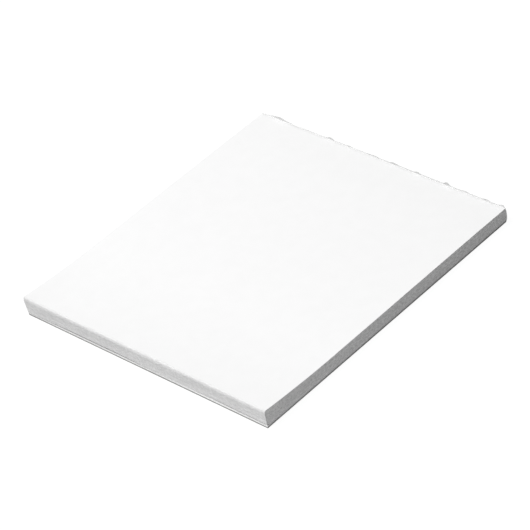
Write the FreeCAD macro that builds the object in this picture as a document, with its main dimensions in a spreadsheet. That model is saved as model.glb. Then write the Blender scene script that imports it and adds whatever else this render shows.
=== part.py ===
import FreeCAD, Part

import math
import os

import Sketcher

# Tear-off notepad: plain leaves on a chipboard back, glued along one edge.
# Millimetres, +Z up. The origin is under the middle of the pad, +Y points to the glued
# edge, and the leaves' free edge, which curls up, is at -Y.

# Driving sizes
SIZES = {
    "page_width": 139.7,
    "page_length": 152.0,
    "leaf_count": 50,
    "leaf_thickness": 0.122,
    "board_thickness": 0.76,
    # The leaves above the lowest few lift over the last stretch before the free edge
    "flat_leaves": 6,
    "curl_length": 42.0,
    "curl_rise": 1.75,
    # How far the leaves' free edges stand back: the lowest leaves lie flush with the
    # board, the other flat ones leave a ledge, and the topmost recede as they round off
    "flush_leaves": 1,
    "ledge_setback": 0.35,
    "lifted_setback": 0.08,
    "crest_leaves": 8,
    "crest_setback": 1.0,
    # How unevenly the leaves' edges lie
    "free_edge_jog": 0.12,
    "side_jog": 0.06,
    # The trimmed side at -X leans out from the board to the top leaf
    "left_lean": 1.0,
    # How far in the slits reach that gape between the flat leaves and the lifted ones
    "slit_depth": 15.0,
    # The glue film: its crown behind the leaves, its wall at the foot and in the flaps
    "film_crown": 0.8,
    "film_wall": 0.2,
    "rim_stand": 0.12,
    "rim_round": 0.8,
    # How far waste that is trimmed off, and what cuts it, reach past the finished faces
    "trim_spare": 0.5,
}

# Slits at the free edge: where one starts and ends as a share of the width, and how
# high it gapes in its middle
SLITS = (
    (0.095, 0.53, 0.2),
    (0.79, 0.93, 0.12),
)
SLIT_CELLS = ("from", "to", "gape")

# Torn flaps of film that stand up along the rim, left by leaves already taken off:
# where a flap's tip is as a share of the width, how far the tip stands above the top
# leaf, and how far its foot reaches before and after the tip. A tip below the top leaf
# is a notch.
FLAPS = (
    (0.074, 1.00, 7.6, 5.4),
    (0.145, -0.35, 3.0, 4.5),
    (0.296, 0.85, 3.6, 1.3),
    (0.369, 0.40, 3.0, 2.4),
    (0.476, 0.25, 5.0, 3.4),
    (0.556, 0.70, 2.2, 2.8),
    (0.658, 1.15, 3.0, 1.5),
    (0.772, 1.50, 2.9, 2.0),
    (0.845, 0.35, 2.4, 2.0),
    (0.923, 0.60, 2.4, 3.0),
    (0.985, 0.55, 3.0, 1.6),
)
FLAP_CELLS = ("along", "stand", "before", "after")

# Rates, in radians per leaf, at which the leaves' edges drift and jitter
DRIFT_RATE = 0.37
JITTER_RATE = 2.3
DRIFT_SHARE = 0.6

# Places worked out from the driving sizes
PAGE_TOP = "(Sizes.board_thickness + Sizes.leaf_count * Sizes.leaf_thickness)"
FREE_EDGE = "-(Sizes.page_length + Sizes.film_crown) / 2"
GLUED_EDGE = "(Sizes.page_length - Sizes.film_crown) / 2"
CURL_START = f"{FREE_EDGE} + Sizes.curl_length"
RIGHT_SIDE = "Sizes.page_width / 2"
LEFT_SIDE = "-Sizes.page_width / 2"

# Free sketches: x and y of the side view run along Y and Z, of the front view along X
# and Z
SIDE_VIEW = FreeCAD.Rotation(FreeCAD.Vector(1, 1, 1), 120)
FRONT_VIEW = FreeCAD.Rotation(FreeCAD.Vector(1, 0, 0), 90)

# The ends of a sketch's curve, and the sketch's own first axis
START, END = 1, 2
FIRST_AXIS = -1


# Sheet and sketches

def make_sheet(doc):
    """Put the driving sizes into a spreadsheet, one alias for each."""
    sheet = doc.addObject("Spreadsheet::Sheet", "Sizes")
    rows = dict(SIZES)
    for name, cells, table in (("slit", SLIT_CELLS, SLITS), ("flap", FLAP_CELLS, FLAPS)):
        for number, values in enumerate(table, start=1):
            for cell, value in zip(cells, values):
                rows[f"{name}_{number}_{cell}"] = value
    for row, (alias, value) in enumerate(rows.items(), start=1):
        sheet.set(f"A{row}", alias)
        sheet.set(f"B{row}", str(value))
        sheet.setAlias(f"B{row}", alias)
    doc.recompute()
    return sheet


class Drawing:
    """A sketch that is drawn from expressions on the sheet and stays bound to them."""

    def __init__(self, sketch, sheet):
        self.sketch = sketch
        self.sheet = sheet

    def value(self, expression):
        """Return what an expression on the sheet comes to now."""
        return float(self.sheet.evalExpression(expression))

    def line(self, start, end):
        """Add a straight line between two points and return its number."""
        segment = Part.LineSegment(FreeCAD.Vector(*start, 0), FreeCAD.Vector(*end, 0))
        return self.sketch.addGeometry(segment, False)

    def arc(self, centre, radius, first, last):
        """Add an arc that turns from the first angle to the last, in radians."""
        up = FreeCAD.Vector(0, 0, 1)
        circle = Part.Circle(FreeCAD.Vector(*centre, 0), up, radius)
        return self.sketch.addGeometry(Part.ArcOfCircle(circle, first, last), False)

    def bridge(self, one, one_end, other, other_end, kind):
        """Join the ends of two curves by a line, level or upright, and return it."""
        start = self.sketch.getPoint(one, one_end)
        end = self.sketch.getPoint(other, other_end)
        line = self.line((start.x, start.y), (end.x, end.y))
        self.hold("Coincident", one, one_end, line, START)
        self.hold("Coincident", line, END, other, other_end)
        self.hold(kind, line)
        return line

    def polygon(self, corners):
        """Draw a closed polygon whose corners are pairs of expressions."""
        points = [(self.value(across), self.value(up)) for across, up in corners]
        sides = [self.line(a, b) for a, b in zip(points, points[1:] + points[:1])]
        for side, following in zip(sides, sides[1:] + sides[:1]):
            self.hold("Coincident", side, END, following, START)
        for side, (across, up) in zip(sides, corners):
            self.place(side, START, across, up)

    def hold(self, kind, *where):
        """Add a constraint that has no size."""
        self.sketch.addConstraint(Sketcher.Constraint(kind, *where))

    def size(self, kind, *where, by):
        """Add a constraint whose size is an expression on the sheet."""
        constraint = Sketcher.Constraint(kind, *where, self.value(by))
        index = self.sketch.addConstraint(constraint)
        self.sketch.setExpression(f"Constraints[{index}]", by)

    def place(self, curve, end, across, up):
        """Set the place of a curve's end by two expressions."""
        self.size("DistanceX", curve, end, by=across)
        self.size("DistanceY", curve, end, by=up)


def body_drawing(body, role, name, sheet):
    """Start a drawing on one of a body's origin planes."""
    sketch = body.newObject("Sketcher::SketchObject", name)
    plane = next(item for item in body.Origin.OriginFeatures if item.Role == role)
    sketch.AttachmentSupport = [(plane, "")]
    sketch.MapMode = "FlatFace"
    return Drawing(sketch, sheet)


def free_drawing(doc, name, view, sheet):
    """Start a drawing that stands by itself, turned to a view."""
    sketch = doc.addObject("Sketcher::SketchObject", name)
    sketch.Placement = FreeCAD.Placement(FreeCAD.Vector(0, 0, 0), view)
    return Drawing(sketch, sheet)


def arc_radius(chord, height):
    """Return the radius of an arc from its chord and its height over the chord."""
    return f"((({chord}) / 2) ^ 2 + ({height}) ^ 2) / (2 * ({height}))"


# Backing board

def make_board(doc, sheet):
    """Make the flat chipboard back, as wide as the lowest leaf."""
    body = doc.addObject("PartDesign::Body", "BoardBody")
    body.Label = "backing_board"
    drawing = body_drawing(body, "XY_Plane", "BoardOutline", sheet)
    left = f"{LEFT_SIDE} + Sizes.left_lean"
    drawing.polygon([
        (left, FREE_EDGE), (RIGHT_SIDE, FREE_EDGE), (RIGHT_SIDE, GLUED_EDGE), (left, GLUED_EDGE),
    ])
    pad = body.newObject("PartDesign::Pad", "BoardPad")
    pad.Profile = drawing.sketch
    pad.setExpression("Length", "Sizes.board_thickness")
    return body


# Page block

def wander(leaf, phase):
    """Return how far a leaf's edge strays, from -1 to 1: a slow drift and a jitter."""
    drift = math.sin(DRIFT_RATE * leaf + phase)
    jitter = math.sin(JITTER_RATE * leaf + 2 * phase)
    return DRIFT_SHARE * drift + (1 - DRIFT_SHARE) * jitter


def leaf_level(leaves_below):
    """Return the height of the flat part of a face over this many leaves."""
    return f"Sizes.board_thickness + {leaves_below} * Sizes.leaf_thickness"


def leaf_rise(leaves_below):
    """Return how far a face rises at the pad's free edge.

    The faces above the flat leaves share the top leaf's rise evenly, so the curled
    leaves fan out a little.
    """
    share = f"({leaves_below} - Sizes.flat_leaves) / (Sizes.leaf_count - Sizes.flat_leaves)"
    return f"(Sizes.curl_rise * {share})"


def edge_setback(drawing, leaf):
    """Return how far back a leaf's free edge stands, before its own small stray.

    The topmost lifted leaves recede along a quarter of an ellipse.
    """
    if leaf < drawing.value("Sizes.flush_leaves"):
        return None
    if leaf < drawing.value("Sizes.flat_leaves"):
        return "Sizes.ledge_setback"
    share = f"({leaf + 1} - Sizes.leaf_count + Sizes.crest_leaves) / Sizes.crest_leaves"
    if drawing.value(share) <= 0:
        return "Sizes.lifted_setback"
    return f"Sizes.lifted_setback + Sizes.crest_setback * (1 - sqrt(1 - ({share}) ^ 2))"


def draw_leaf_face(drawing, leaves_below, free_edge):
    """Draw one face of a leaf from its tip to the glued edge.

    A face above the flat leaves is an arc from the tip and then a straight line that
    touches it. Return the curves that hold the tip and the glued end.
    """
    level = drawing.value(leaf_level(leaves_below))
    tip, glued = drawing.value(free_edge), drawing.value(GLUED_EDGE)
    if leaves_below <= drawing.value("Sizes.flat_leaves"):
        line = drawing.line((tip, level), (glued, level))
        drawing.hold("Horizontal", line)
        drawing.size("DistanceY", line, START, by=leaf_level(leaves_below))
        return line, line
    radius_words = arc_radius("2 * Sizes.curl_length", leaf_rise(leaves_below))
    radius, start = drawing.value(radius_words), drawing.value(CURL_START)
    turn = math.asin((start - tip) / radius)
    down = -math.pi / 2
    arc = drawing.arc((start, level + radius), radius, down - turn, down)
    line = drawing.line((start, level), (glued, level))
    drawing.hold("Tangent", arc, END, line, START)
    drawing.hold("Horizontal", line)
    drawing.place(line, START, CURL_START, leaf_level(leaves_below))
    drawing.size("Radius", arc, by=radius_words)
    return arc, line


def make_leaf(doc, sheet, leaf):
    """Make one leaf: its side view, extruded across the pad."""
    drawing = free_drawing(doc, f"Leaf{leaf + 1}Side", SIDE_VIEW, sheet)
    setback = edge_setback(drawing, leaf)
    free_edge = f"{FREE_EDGE} + Sizes.free_edge_jog * {(1 + wander(leaf, 0)) / 2:.4f}"
    if setback:
        free_edge = f"{free_edge} + {setback}"
    low_tip, low_glued = draw_leaf_face(drawing, leaf, free_edge)
    high_tip, high_glued = draw_leaf_face(drawing, leaf + 1, free_edge)
    glued = drawing.bridge(low_glued, END, high_glued, END, "Vertical")
    tip = drawing.bridge(high_tip, START, low_tip, START, "Vertical")
    drawing.size("DistanceX", glued, START, by=GLUED_EDGE)
    drawing.size("DistanceX", tip, START, by=free_edge)

    strip = doc.addObject("Part::Extrusion", f"Leaf{leaf + 1}")
    strip.Base = drawing.sketch
    strip.DirMode = "Normal"
    strip.Solid = True
    right_inset, left_inset = ((1 + wander(leaf, phase)) / 2 for phase in (1, 2))
    lean = f"Sizes.left_lean * (1 - {leaf + 1} / Sizes.leaf_count)"
    strip.setExpression("LengthFwd", f"{RIGHT_SIDE} - Sizes.side_jog * {right_inset:.4f}")
    strip.setExpression(
        "LengthRev", f"{RIGHT_SIDE} - Sizes.side_jog * {left_inset:.4f} - {lean}"
    )
    return strip


def make_slit(doc, sheet, number):
    """Make the thin lens of air that gapes above the flat leaves at the free edge."""
    drawing = free_drawing(doc, f"Slit{number}Front", FRONT_VIEW, sheet)
    drawing.sketch.setExpression("Placement.Base.y", f"{FREE_EDGE} + Sizes.slit_depth")
    left, right = (
        f"{LEFT_SIDE} + Sizes.page_width * Sizes.slit_{number}_{end}" for end in ("from", "to")
    )
    width = f"Sizes.page_width * (Sizes.slit_{number}_to - Sizes.slit_{number}_from)"
    gape = f"Sizes.slit_{number}_gape"
    level = leaf_level("Sizes.flat_leaves")
    radius_words = arc_radius(width, gape)
    radius = drawing.value(radius_words)
    turn = math.asin(drawing.value(width) / 2 / radius)
    middle = (drawing.value(left) + drawing.value(right)) / 2
    crown = drawing.value(level) + drawing.value(gape)
    up = math.pi / 2
    roof = drawing.arc((middle, crown - radius), radius, up - turn, up + turn)
    drawing.bridge(roof, END, roof, START, "Horizontal")
    drawing.size("DistanceX", roof, START, by=right)
    drawing.place(roof, END, left, level)
    drawing.size("Radius", roof, by=radius_words)
    slit = doc.addObject("Part::Extrusion", f"Slit{number}")
    slit.Base = drawing.sketch
    slit.DirMode = "Normal"
    slit.Solid = True
    slit.setExpression("LengthFwd", "Sizes.slit_depth + Sizes.trim_spare")
    return slit


def make_page_block(doc, sheet):
    """Make the block of leaves, stacked one by one, with its slits cut out."""
    leaf_count = int(float(sheet.evalExpression("Sizes.leaf_count")))
    block = doc.addObject("Part::MultiFuse", "LeafStack")
    block.Shapes = [make_leaf(doc, sheet, leaf) for leaf in range(leaf_count)]
    block.Refine = True
    for number in range(1, len(SLITS) + 1):
        stack = block
        block = doc.addObject("Part::Cut", f"StackWithSlit{number}")
        block.Base = stack
        block.Tool = make_slit(doc, sheet, number)
    block.Label = "page_block"
    return block


# Glue film

def draw_film_section(drawing, film_top):
    """Draw the film's section: a shallow arc behind the leaves, a thin wall above."""
    glued, wall = drawing.value(GLUED_EDGE), drawing.value("Sizes.film_wall")
    page_top, top = drawing.value(PAGE_TOP), drawing.value(film_top)
    radius_words = arc_radius(PAGE_TOP, "Sizes.film_crown - Sizes.film_wall")
    radius = drawing.value(radius_words)
    turn = math.asin(page_top / 2 / radius)
    centre = (glued + drawing.value("Sizes.film_crown") - radius, page_top / 2)
    back = drawing.arc(centre, radius, -turn, turn)
    inside = drawing.line((glued, top), (glued, 0))
    drawing.bridge(inside, END, back, START, "Horizontal")
    flap = drawing.line((glued + wall, page_top), (glued + wall, top))
    drawing.hold("Coincident", back, END, flap, START)
    drawing.hold("Vertical", flap)
    drawing.bridge(flap, END, inside, START, "Horizontal")
    outer = f"{GLUED_EDGE} + Sizes.film_wall"
    drawing.hold("Vertical", inside)
    drawing.hold("PointOnObject", inside, END, FIRST_AXIS)
    drawing.place(inside, START, GLUED_EDGE, film_top)
    drawing.size("DistanceX", back, START, by=outer)
    drawing.place(flap, START, outer, PAGE_TOP)
    drawing.size("Radius", back, by=radius_words)


def flap_tip(number):
    """Return the place of a flap's tip along X."""
    return f"{LEFT_SIDE} + Sizes.page_width * Sizes.flap_{number}_along"


def waste_corners(film_top):
    """Return the outline of what is trimmed off the film, as pairs of expressions.

    It follows the leaning side and the torn rim, and closes outside the film.
    """
    rim = f"{PAGE_TOP} + Sizes.rim_stand"
    corners = [
        (f"{LEFT_SIDE} + Sizes.left_lean", "-Sizes.trim_spare"),
        (f"{LEFT_SIDE} + Sizes.left_lean", "Sizes.board_thickness"),
        (LEFT_SIDE, PAGE_TOP),
        (LEFT_SIDE, rim),
    ]
    for number in range(1, len(FLAPS) + 1):
        tip = flap_tip(number)
        corners.append((f"{tip} - Sizes.flap_{number}_before", rim))
        corners.append((tip, f"{PAGE_TOP} + Sizes.flap_{number}_stand"))
        corners.append((f"{tip} + Sizes.flap_{number}_after", rim))
    above = f"{film_top} + Sizes.trim_spare"
    corners += [
        (f"{RIGHT_SIDE} + Sizes.trim_spare", rim),
        (f"{RIGHT_SIDE} + Sizes.trim_spare", above),
        (f"{LEFT_SIDE} - Sizes.trim_spare", above),
        (f"{LEFT_SIDE} - Sizes.trim_spare", "-Sizes.trim_spare"),
    ]
    return corners


def crest_edges(shape, sheet):
    """Return the names of the edges that run through the film at the flaps' tips."""
    tips = [
        float(sheet.evalExpression(flap_tip(number))) for number in range(1, len(FLAPS) + 1)
    ]
    names = []
    for index, edge in enumerate(shape.Edges, start=1):
        ends = [vertex.Point for vertex in edge.Vertexes]
        across = {round(end.x, 4) for end in ends}
        if len(across) == 1 and any(abs(ends[0].x - tip) < 0.001 for tip in tips):
            names.append(f"Edge{index}")
    return names


def make_glue_film(doc, sheet):
    """Make the dried glue film: its section run along the edge, with a torn rim."""
    tallest = max(range(len(FLAPS)), key=lambda row: FLAPS[row][1]) + 1
    film_top = f"{PAGE_TOP} + Sizes.flap_{tallest}_stand + Sizes.trim_spare"
    body = doc.addObject("PartDesign::Body", "FilmBody")
    body.Label = "glue_binding"
    section = body_drawing(body, "YZ_Plane", "FilmSection", sheet)
    draw_film_section(section, film_top)
    film = body.newObject("PartDesign::Pad", "Film")
    film.Profile = section.sketch
    film.Midplane = True
    film.setExpression("Length", "Sizes.page_width")
    doc.recompute()

    waste = body_drawing(body, "XZ_Plane", "RimWaste", sheet)
    waste.polygon(waste_corners(film_top))
    rim = body.newObject("PartDesign::Pocket", "TornRim")
    rim.Profile = waste.sketch
    rim.Type = "ThroughAll"
    rim.Midplane = True
    doc.recompute()

    worn = body.newObject("PartDesign::Fillet", "WornTips")
    worn.Base = (rim, crest_edges(rim.Shape, sheet))
    worn.setExpression("Radius", "Sizes.rim_round")
    return body


# The pad

def check(doc, parts):
    """Stop if any object failed or any part has no sound shape."""
    for item in doc.Objects:
        if {"Invalid", "Error"} & set(item.State):
            raise RuntimeError(f"{item.Name} failed: {item.State}")
    for part in parts:
        if part.Shape.isNull() or not part.Shape.isValid():
            raise RuntimeError(f"{part.Label} has no valid shape")


def main():
    """Build the pad and write each part to its own STEP file."""
    doc = FreeCAD.newDocument("Notepad")
    sheet = make_sheet(doc)
    makers = (make_board, make_page_block, make_glue_film)
    parts = [make(doc, sheet) for make in makers]
    doc.recompute()
    check(doc, parts)
    os.makedirs("parts", exist_ok=True)
    for part in parts:
        part.Shape.exportStep(f"parts/{part.Label}.step")
        solids, faces = len(part.Shape.Solids), len(part.Shape.Faces)
        print(f"{part.Label}: {solids} solid, {faces} faces, {part.Shape.Volume:.1f} mm3")


main()
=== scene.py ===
"""Dresses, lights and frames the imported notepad.

The pad is fifty thin leaves on a chipboard back, held along one edge by a dried film of
padding glue whose rim is torn where leaves were taken off. Everything is in metres, in
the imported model's frame: +X along the glued edge, +Y from the free edge to the glued
edge, +Z up out of the top leaf.
"""

import logging
import math
from dataclasses import dataclass, field
from enum import Enum, IntEnum

import bpy
import numpy as np
from mathutils import Matrix, Vector


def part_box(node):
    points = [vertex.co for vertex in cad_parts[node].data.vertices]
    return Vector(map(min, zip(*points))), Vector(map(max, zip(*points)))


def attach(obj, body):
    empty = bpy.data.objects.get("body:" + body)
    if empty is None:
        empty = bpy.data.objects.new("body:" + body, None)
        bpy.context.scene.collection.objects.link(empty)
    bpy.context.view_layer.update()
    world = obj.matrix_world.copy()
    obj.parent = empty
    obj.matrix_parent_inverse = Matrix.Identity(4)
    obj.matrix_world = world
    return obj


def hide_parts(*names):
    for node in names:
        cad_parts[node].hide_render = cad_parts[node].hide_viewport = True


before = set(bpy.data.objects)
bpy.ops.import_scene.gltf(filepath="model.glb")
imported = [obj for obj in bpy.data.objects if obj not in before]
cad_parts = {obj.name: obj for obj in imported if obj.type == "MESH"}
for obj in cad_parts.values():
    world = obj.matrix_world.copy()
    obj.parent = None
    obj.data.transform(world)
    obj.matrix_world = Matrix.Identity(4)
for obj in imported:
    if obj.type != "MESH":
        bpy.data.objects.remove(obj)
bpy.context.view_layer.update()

MM = 0.001
BODY = "root"
LOG = logging.getLogger("notepad")
WHITE = (1.0, 1.0, 1.0, 1.0)

# Where nearly all values of Blender's noise lie
NOISE_BAND = (0.3, 0.7)

Colour = tuple[float, float, float]
Place = tuple[float, float, float]
Range = tuple[float, float]
Node = bpy.types.Node
Socket = bpy.types.NodeSocket


# Shapes


class Draw(IntEnum):
    """The seeds of what is left to chance, so that every run gives the same pad."""

    FREE_EDGES = 3
    LEFT_SIDES = 4
    RIGHT_SIDES = 5
    CLUMPS = 7
    GROOVES = 9
    BOARD = 15
    JOGS = 21
    TORN_RIM = 31
    STREAKS = 41
    RIM_LEAN = 52


@dataclass(frozen=True)
class Wander:
    """A smooth random drift along a length, the same on every run.

    It is the mean of one sine for each wavelength, each with a phase drawn from the
    seed, scaled so that it strays about 1 to either side of nought.
    """

    wavelengths: tuple[float, ...]
    seed: Draw

    def along(self, distance: np.ndarray, rows: int = 1) -> np.ndarray:
        """Works out the drift at each distance, with other phases for each row.

        Args:
            distance: places along the length, in metres, as one line of numbers.
            rows: how many different drifts to make.

        Returns:
            A table with one row for each drift and one column for each distance.
        """
        waves = np.array(self.wavelengths)[None, :, None]
        source = np.random.default_rng(self.seed)
        phases = source.uniform(0, 2 * np.pi, (rows, len(self.wavelengths), 1))
        turns = 2 * np.pi * np.asarray(distance)[None, None, :] / waves + phases
        return np.sin(turns).mean(axis=1) * math.sqrt(len(self.wavelengths))


def smooth_step(value: np.ndarray) -> np.ndarray:
    """Eases from 0 to 1 as the value does: three times its square less twice its cube."""
    held = np.clip(value, 0, 1)
    return held * held * (3 - 2 * held)


def grid_quads(numbers: np.ndarray, wrap: bool = False) -> np.ndarray:
    """Lists the quads between neighbours in a table of vertex numbers.

    Each quad runs from a vertex to the next column, then to the next row and back, so
    it faces the way that column direction cross row direction points.

    Args:
        numbers: vertex numbers, one row for each step of the second parameter.
        wrap: whether the last column joins the first again.

    Returns:
        Vertex numbers, four to a row.
    """
    if wrap:
        numbers = np.concatenate([numbers, numbers[:, :1]], axis=1)
    corners = [numbers[:-1, :-1], numbers[:-1, 1:], numbers[1:, 1:], numbers[1:, :-1]]
    return np.stack(corners, axis=-1).reshape(-1, 4)


def grid_rim(table: np.ndarray) -> np.ndarray:
    """Reads the outer cells of a table, from its first corner round counterclockwise."""
    return np.concatenate([table[0, :-1], table[:-1, -1], table[-1, :0:-1], table[:0:-1, 0]])


def fan(ring: np.ndarray, centre: int) -> list[np.ndarray]:
    """Lists the triangles from a ring of vertices to its centre, facing as it turns."""
    return list(np.stack([ring, np.roll(ring, -1), np.full(len(ring), centre)], axis=-1))


@dataclass
class Skin:
    """A closed surface under construction: points, quads, flat end faces and a UV map."""

    name: str
    points: np.ndarray
    quads: np.ndarray
    ends: list[np.ndarray]
    quad_uv: np.ndarray
    quad_finish: np.ndarray | None = None
    crease: float = 40.0

    def to_object(self) -> bpy.types.Object:
        """Puts the surface into a mesh, smooth but for its creases and its flat ends,
        and links its object.

        Returns:
            The new object, at the origin, unturned and unscaled.
        """
        mesh = bpy.data.meshes.new(self.name)
        faces = self.quads.tolist() + [end.tolist() for end in self.ends]
        mesh.from_pydata(self.points.tolist(), [], faces)
        mesh.polygons.foreach_set("use_smooth", np.arange(len(faces)) < len(self.quads))
        mesh.set_sharp_from_angle(angle=math.radians(self.crease))
        if self.quad_finish is not None:
            finish = np.zeros(len(faces), np.int32)
            finish[: len(self.quads)] = self.quad_finish
            mesh.polygons.foreach_set("material_index", finish)
        end_points = [self.points[end][:, :2] for end in self.ends]
        uv = np.concatenate([self.quad_uv.reshape(-1, 2), *end_points])
        mesh.uv_layers.new(name="Surface").data.foreach_set("uv", uv.ravel())
        mesh.update()
        piece = bpy.data.objects.new(self.name, mesh)
        bpy.context.scene.collection.objects.link(piece)
        return piece


# Finishes


class Space(Enum):
    """What a pattern is laid out on."""

    OBJECT = "Object"
    SURFACE = "UV"


class Recipe:
    """A node tree under construction, a material's or the sky's."""

    def __init__(self, owner: bpy.types.ID, output: str = "ShaderNodeOutputMaterial") -> None:
        """Empties a node tree and gives it its output.

        Args:
            owner: the material or world whose tree it is.
            output: the kind of output node that it ends in.
        """
        owner.use_nodes = True
        self.owner = owner
        self.tree = owner.node_tree
        self.tree.nodes.clear()
        self.output = self.add(output)

    def add(self, kind: str, **settings: object) -> Node:
        """Adds a node.

        Args:
            kind: Blender's name for that kind of node.
            **settings: its own settings, such as its operation.

        Returns:
            The new node.
        """
        node = self.tree.nodes.new(kind)
        for name, value in settings.items():
            setattr(node, name, value)
        return node

    def feed(self, node: Node, *in_order: object, **by_name: object) -> Node:
        """Gives a node's sockets their values, or links them to another node's socket.

        Args:
            node: the node whose inputs are set.
            *in_order: what its first inputs get.
            **by_name: what other inputs get, by their names in small letters, with _
                for a space.

        Returns:
            The same node.
        """
        sockets = {s.name.lower().replace(" ", "_"): s for s in node.inputs if s.enabled}
        fed = [*zip(node.inputs, in_order), *((sockets[n], v) for n, v in by_name.items())]
        for socket, value in fed:
            if isinstance(value, Socket):
                self.tree.links.new(value, socket)
            else:
                socket.default_value = value
        return node

    def place(self, axis: str, widths: Place = (1.0, 1.0, 1.0), on: Space = Space.OBJECT) -> Socket:
        """Reads where a point is, as a number of pattern widths, in metres if not said.

        Args:
            axis: X, Y or Z.
            widths: how wide the pattern is along each axis, in metres.
            on: what the pattern is laid out on.

        Returns:
            The place's socket.
        """
        laid = self.laid_out(widths, on)
        return self.feed(self.add("ShaderNodeSeparateXYZ"), vector=laid).outputs[axis]

    def laid_out(self, widths: Place, on: Space) -> Socket:
        """Lays a pattern out.

        Args:
            widths: how wide the pattern is along each axis, in metres.
            on: what it is laid out on.

        Returns:
            The coordinates' socket.
        """
        source = self.add("ShaderNodeTexCoord").outputs[on.value]
        scale = tuple(1 / width for width in widths)
        mapping = self.feed(self.add("ShaderNodeMapping"), vector=source, scale=scale)
        return mapping.outputs["Vector"]

    def noise(self, widths: Place, detail: float = 2.0, on: Space = Space.OBJECT) -> Socket:
        """Adds noise from about 0.2 to 0.8.

        Args:
            widths: how wide its pattern is along each axis, in metres.
            detail: how many finer layers of noise lie on the first.
            on: what it is laid out on.

        Returns:
            The noise's socket.
        """
        node = self.add("ShaderNodeTexNoise")
        where = self.laid_out(widths, on)
        return self.feed(node, vector=where, scale=1.0, detail=detail).outputs["Fac"]

    def matted(self, length: float, width: float, detail: float) -> Socket:
        """Adds noise in fibres, the greater of those along X and those along Y.

        Args:
            length: how long a fibre is, in metres.
            width: how wide and thick it is.
            detail: how many finer layers of noise lie on the first.

        Returns:
            The noise's socket.
        """
        ways = ((length, width, width), (width, length, width))
        return self.arithmetic("MAXIMUM", *(self.noise(way, detail) for way in ways))

    def spread(self, value: Socket, source: Range, to: Range = (0.0, 1.0)) -> Socket:
        """Moves a value from one range to another, eased, and holds it there.

        Args:
            value: the value's socket.
            source: the range that it comes from.
            to: the range that it goes to.

        Returns:
            The moved value's socket.
        """
        node = self.add("ShaderNodeMapRange", interpolation_type="SMOOTHSTEP")
        ranges = dict(from_min=source[0], from_max=source[1], to_min=to[0], to_max=to[1])
        return self.feed(node, value=value, **ranges).outputs["Result"]

    def stray(self, noise: Socket, depth: float) -> Socket:
        """Makes noise a level that strays from 1 by a depth."""
        return self.spread(noise, NOISE_BAND, (1 - depth, 1 + depth))

    def arithmetic(self, operation: str, first: object, second: object) -> Socket:
        """Adds one sum of two values, by Blender's name for the operation."""
        node = self.add("ShaderNodeMath", operation=operation)
        return self.feed(node, first, second).outputs["Value"]

    def blend(self, share: Socket, first: object, second: object) -> Socket:
        """Blends two colours, or colours' sockets.

        Args:
            share: the second colour's share, from 0 to 1.
            first: the colour where the share is 0.
            second: the colour where it is 1.

        Returns:
            The blended colour's socket.
        """
        node = self.add("ShaderNodeMix", data_type="RGBA")
        first, second = (c if isinstance(c, Socket) else (*c, 1.0) for c in (first, second))
        self.feed(node, factor=share, a=first, b=second)
        return next(s for s in node.outputs if s.enabled)

    def patched(self, pattern: Socket, band: Range, base: object, patch: Colour) -> Socket:
        """Blends a colour over a base where a pattern rises through a band."""
        return self.blend(self.spread(pattern, band), base, patch)

    def tinted(self, colour: object, level: Socket) -> Socket:
        """Multiplies a colour, or a colour's socket, by a level near 1."""
        node = self.add("ShaderNodeVectorMath", operation="SCALE")
        return self.feed(node, colour, scale=level).outputs["Vector"]

    def relief(self, height: Socket, depth: float, under: Socket | None = None) -> Socket:
        """Raises the surface.

        Args:
            height: how high it is raised, from 0 to 1.
            depth: how high 1 is, in metres.
            under: another relief that this one lies on.

        Returns:
            The raised surface's normal.
        """
        node = self.feed(self.add("ShaderNodeBump"), height=height, strength=1.0, distance=depth)
        if under is not None:
            self.feed(node, normal=under)
        return node.outputs["Normal"]

    def surface(self, **values: object) -> bpy.types.Material:
        """Ends the tree with the shader.

        Args:
            **values: what the shader's inputs get, as feed takes them.

        Returns:
            The material.
        """
        shader = self.feed(self.add("ShaderNodeBsdfPrincipled"), **values)
        self.feed(self.output, surface=shader.outputs["BSDF"])
        return self.owner

    def part_rays(self, lighting: Socket, showing: Socket) -> None:
        """Ends the tree with two shaders, by what a ray is for.

        Args:
            lighting: the shader for the rays that light the pad.
            showing: the one for the rays that show the background, to the camera, in a
                reflection or through something clear.
        """
        path = self.add("ShaderNodeLightPath").outputs
        shown = path["Is Camera Ray"]
        for name in ("Is Glossy Ray", "Is Transmission Ray"):
            shown = self.arithmetic("MAXIMUM", shown, path[name])
        mix = self.feed(self.add("ShaderNodeMixShader"), shown, lighting, showing)
        self.feed(self.output, surface=mix.outputs["Shader"])


def shade(colour: Colour, share: float) -> Colour:
    """Darkens or lightens a colour evenly."""
    return tuple(channel * share for channel in colour)


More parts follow.
